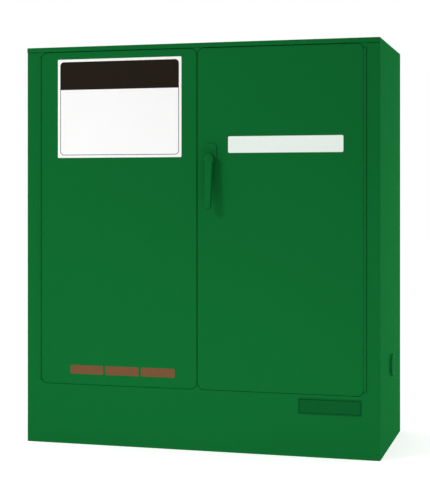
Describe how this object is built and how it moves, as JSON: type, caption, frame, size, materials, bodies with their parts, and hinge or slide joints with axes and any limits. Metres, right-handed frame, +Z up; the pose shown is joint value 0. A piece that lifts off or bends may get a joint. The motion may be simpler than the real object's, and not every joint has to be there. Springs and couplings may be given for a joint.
{
  "type": "dangerous goods storage cabinet",
  "caption": "Double-walled two-door steel storage cabinet over a sump, with perforated shelves, plugged side vents and a lever latch that drives rods up and down.",
  "frame": {"origin": "middle of the underside, on the floor", "axes": "+Z up; the doors face -Y; +X is to the right as seen from in front of the doors"},
  "size_m": [1.0906, 0.4981, 1.19],
  "materials": {
    "green_powder_coat": "green satin powder coat",
    "green_liner_coat": "green powder coat on the inner walls, sump and shelves",
    "bright_steel": "zinc-plated steel",
    "white_card": "blank white plate with a dark head band",
    "dark_plate": "blank dark green plate",
    "lock_nickel": "dull nickel plate"
  },
  "bodies": {
    "cabinet": {"back_panel": "green_powder_coat", "base_panel": "green_powder_coat", "door_head": "green_powder_coat", "door_sill": "green_powder_coat", "flash_arrestor_left": "bright_steel", "flash_arrestor_right": "bright_steel", "header_rail": "green_powder_coat", "left_hinge_frame_leaf": "green_powder_coat", "left_hinge_pin": "bright_steel", "left_side_panel": "green_powder_coat", "left_stile": "green_powder_coat", "liner_back": "green_liner_coat", "liner_left": "green_liner_coat", "liner_right": "green_liner_coat", "liner_top": "green_liner_coat", "lower_keep": "bright_steel", "lower_shelf_clip_left_back": "bright_steel", "lower_shelf_clip_left_front": "bright_steel", "lower_shelf_clip_right_back": "bright_steel", "lower_shelf_clip_right_front": "bright_steel", "name_plate": "dark_plate", "right_hinge_frame_leaf": "green_powder_coat", "right_hinge_pin": "bright_steel", "right_side_panel": "green_powder_coat", "right_stile": "green_powder_coat", "roof_panel": "green_powder_coat", "shelf_upright_left_back": "bright_steel", "shelf_upright_left_front": "bright_steel", "shelf_upright_right_back": "bright_steel", "shelf_upright_right_front": "bright_steel", "sump_apron": "green_powder_coat", "sump_tray": "green_liner_coat", "upper_keep": "bright_steel", "upper_shelf_clip_left_back": "bright_steel", "upper_shelf_clip_left_front": "bright_steel", "upper_shelf_clip_right_back": "bright_steel", "upper_shelf_clip_right_front": "bright_steel", "vent_tube_left": "green_powder_coat", "vent_tube_right": "green_powder_coat"},
    "left_door": {"left_door_skin": "green_powder_coat", "left_door_liner": "green_liner_coat", "left_hinge_door_leaf": "green_powder_coat", "sign_card": "white_card"},
    "right_door": {"right_door_skin": "green_powder_coat", "right_door_liner": "green_liner_coat", "right_hinge_door_leaf": "green_powder_coat", "handle_plate": "green_powder_coat", "lock_channel": "bright_steel"},
    "handle": {"handle_lever": "green_powder_coat", "spindle": "bright_steel", "pinion": "bright_steel"},
    "lock": {"lock_cylinder": "lock_nickel"},
    "upper_rod": {"upper_rod": "bright_steel"},
    "lower_rod": {"lower_rod": "bright_steel"},
    "lower_shelf": {"lower_shelf": "green_liner_coat"},
    "upper_shelf": {"upper_shelf": "green_liner_coat"},
    "sump_grate": {"sump_grate": "green_liner_coat"},
    "vent_bung_right": {"vent_bung_right": "green_powder_coat"},
    "vent_bung_left": {"vent_bung_left": "green_powder_coat"}
  },
  "joints": [
    {"name": "left_door_swing", "type": "hinge", "parent": "cabinet", "child": "left_door", "pos_m": [-0.493, -0.2282, 0.6765], "axis": [0, 0, -1], "range_deg": [0, 110], "stiffness_Nm_per_rad": 1, "springref_deg": -17.19},
    {"name": "right_door_swing", "type": "hinge", "parent": "cabinet", "child": "right_door", "pos_m": [0.493, -0.2282, 0.6765], "axis": [0, 0, 1], "range_deg": [0, 110], "stiffness_Nm_per_rad": 1, "springref_deg": -17.19},
    {"name": "handle_turn", "type": "hinge", "parent": "right_door", "child": "handle", "pos_m": [0.0425, -0.2282, 0.85], "axis": [0, -1, 0], "range_deg": [0, 90]},
    {"name": "key_turn", "type": "hinge", "parent": "handle", "child": "lock", "pos_m": [0.0425, -0.2582, 0.85], "axis": [0, -1, 0], "range_deg": [0, 90]},
    {"name": "upper_rod_slide", "type": "slide", "parent": "right_door", "child": "upper_rod", "axis": [0, 0, 1], "range_m": [0, 0.0142]},
    {"name": "lower_rod_slide", "type": "slide", "parent": "right_door", "child": "lower_rod", "axis": [0, 0, -1], "range_m": [0, 0.0142]},
    {"name": "lower_shelf_lift", "type": "slide", "parent": "cabinet", "child": "lower_shelf", "axis": [0, 0, 1], "range_m": [0, 0.03]},
    {"name": "upper_shelf_lift", "type": "slide", "parent": "cabinet", "child": "upper_shelf", "axis": [0, 0, 1], "range_m": [0, 0.03]},
    {"name": "sump_grate_lift", "type": "slide", "parent": "cabinet", "child": "sump_grate", "axis": [0, 0, 1], "range_m": [0, 0.05]},
    {"name": "vent_bung_right_draw", "type": "slide", "parent": "cabinet", "child": "vent_bung_right", "axis": [1, 0, 0], "range_m": [0, 0.03]},
    {"name": "vent_bung_left_draw", "type": "slide", "parent": "cabinet", "child": "vent_bung_left", "axis": [-1, 0, 0], "range_m": [0, 0.03]}
  ],
  "couplings": [
    {"joint": "upper_rod_slide", "follows": "handle_turn", "m_per_rad": 0.009},
    {"joint": "lower_rod_slide", "follows": "handle_turn", "m_per_rad": 0.009}
  ]
}
